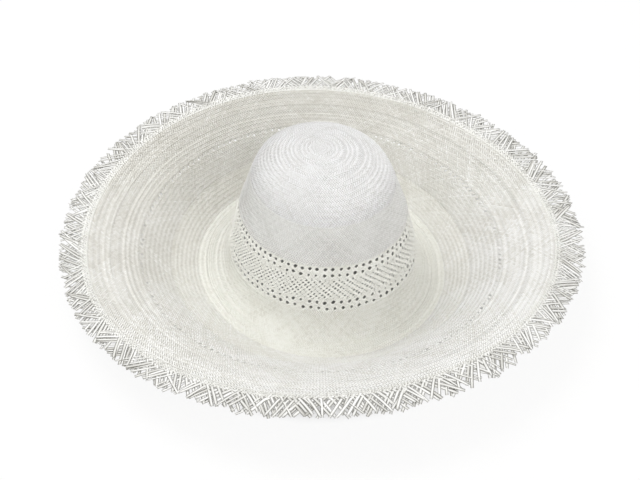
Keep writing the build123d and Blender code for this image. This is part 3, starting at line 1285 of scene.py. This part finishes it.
# ---------------------------------------------------------------- studio
@dataclass(frozen=True)
class Studio:
    """Floor, light and camera.

    azimuth: turn of the camera round the hat, in degrees.
    elevation: camera above level, in degrees.
    distance: camera to the middle of the hat, in metres.
    lens: focal length in millimetres.
    rise: shift of the frame.
    half: half the side of the floor, in metres.
    shaded: distance from the middle of the hat within which the floor has no glow.
    white: distance beyond which it has all its glow.
    glow: how much of the floor out there is glow, as the camera sees it.
    """

    azimuth: float = -19.75
    elevation: float = 42.5
    distance: float = 1.226
    lens: float = 73.1
    rise: float = 0.0348
    half: float = 6.0
    shaded: float = 0.172
    white: float = 0.2
    glow: float = 0.9

    def floor(self) -> None:
        """A plain pale floor that keeps the shadow of the hat."""
        bm = bmesh.new()
        bmesh.ops.create_grid(bm, x_segments=1, y_segments=1, size=self.half)
        mesh = bpy.data.meshes.new("floor")
        bm.to_mesh(mesh)
        bm.free()
        floor = bpy.data.objects.new("floor", mesh)
        bpy.context.scene.collection.objects.link(floor)
        material = bpy.data.materials.new("floor_paper")
        material.use_nodes = True
        tree, link = material.node_tree, material.node_tree.links.new
        shader = tree.nodes["Principled BSDF"]
        shader.inputs["Base Color"].default_value = (0.86, 0.86, 0.86, 1)
        shader.inputs["Roughness"].default_value = 0.9
        shader.inputs["Specular IOR Level"].default_value = 0.0
        light = add_node(tree, "Emission", {"Color": (1, 1, 1, 1), "Strength": 1.0})
        place = add_node(tree, "TexCoord").outputs["Object"]
        limits = {"From Min": self.shaded, "From Max": self.white, "To Max": self.glow}
        edge = add_node(tree, "MapRange", limits)
        edge.interpolation_type = "SMOOTHSTEP"
        link(add_math(tree, "VectorMath", "LENGTH", place), edge.inputs["Value"])
        seen = add_node(tree, "LightPath").outputs["Is Camera Ray"]
        share = add_math(tree, "Math", "MULTIPLY", seen, edge.outputs["Result"])
        mixed = mix_shaders(tree, share, shader.outputs["BSDF"], light.outputs["Emission"])
        link(mixed, tree.nodes["Material Output"].inputs["Surface"])
        mesh.materials.append(material)

    def world(self) -> None:
        """Plain light from all round, with white behind."""
        world = bpy.data.worlds.new("studio")
        world.use_nodes = True
        tree = world.node_tree
        light = tree.nodes["Background"]
        light.inputs["Color"].default_value = (1.0, 0.99, 0.965, 1)
        light.inputs["Strength"].default_value = 0.66
        white = add_node(tree, "Background", {"Color": (1.0, 1.0, 1.0, 1), "Strength": 1.0})
        seen = add_node(tree, "LightPath").outputs["Is Camera Ray"]
        mixed = mix_shaders(tree, seen, light.outputs["Background"], white.outputs["Background"])
        tree.links.new(mixed, tree.nodes["World Output"].inputs["Surface"])
        bpy.context.scene.world = world

    def lamp(self, name: str, place: tuple[float, float, float], size: float, power: float) -> None:
        """A soft lamp that points at the hat.

        Args:
            name: name of the lamp.
            place: where it stands, in metres.
            size: side of the lamp, in metres.
            power: watts.
        """
        data = bpy.data.lights.new(name, "AREA")
        data.size = size
        data.energy = power
        lamp = bpy.data.objects.new(name, data)
        lamp.location = place
        lamp.rotation_euler = (Vector((0, 0, 0.05)) - Vector(place)).to_track_quat("-Z", "Y").to_euler()
        bpy.context.scene.collection.objects.link(lamp)

    def camera(self) -> None:
        """The camera, aimed at the middle of the hat on the table."""
        data = bpy.data.cameras.new("camera")
        data.sensor_width = 36.0
        data.lens = self.lens
        data.shift_y = self.rise
        data.clip_start, data.clip_end = 0.05, 50.0
        camera = bpy.data.objects.new("camera", data)
        turn, tilt = math.radians(self.azimuth), math.radians(self.elevation)
        back = Vector(
            (math.sin(turn) * math.cos(tilt), -math.cos(turn) * math.cos(tilt), math.sin(tilt))
        )
        camera.location = back * self.distance
        camera.rotation_mode = "QUATERNION"
        camera.rotation_quaternion = (-back).to_track_quat("-Z", "Y")
        bpy.context.scene.collection.objects.link(camera)
        bpy.context.scene.camera = camera

    def build(self) -> None:
        """Set up the whole studio."""
        self.floor()
        self.world()
        self.lamp("key", (-0.45, 0.65, 1.9), 1.1, 25.5)
        self.lamp("fill", (0.3, -1.8, 1.0), 1.4, 13.0)
        self.camera()
        bpy.context.scene.view_settings.view_transform = "Standard"


def main() -> None:
    """Build the hat and the studio."""
    logging.basicConfig(level=logging.INFO, format="%(name)s: %(message)s")
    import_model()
    Studio().build()
    Hat(SkinLine(RINGS)).build()


if __name__ == "__main__":
    main()
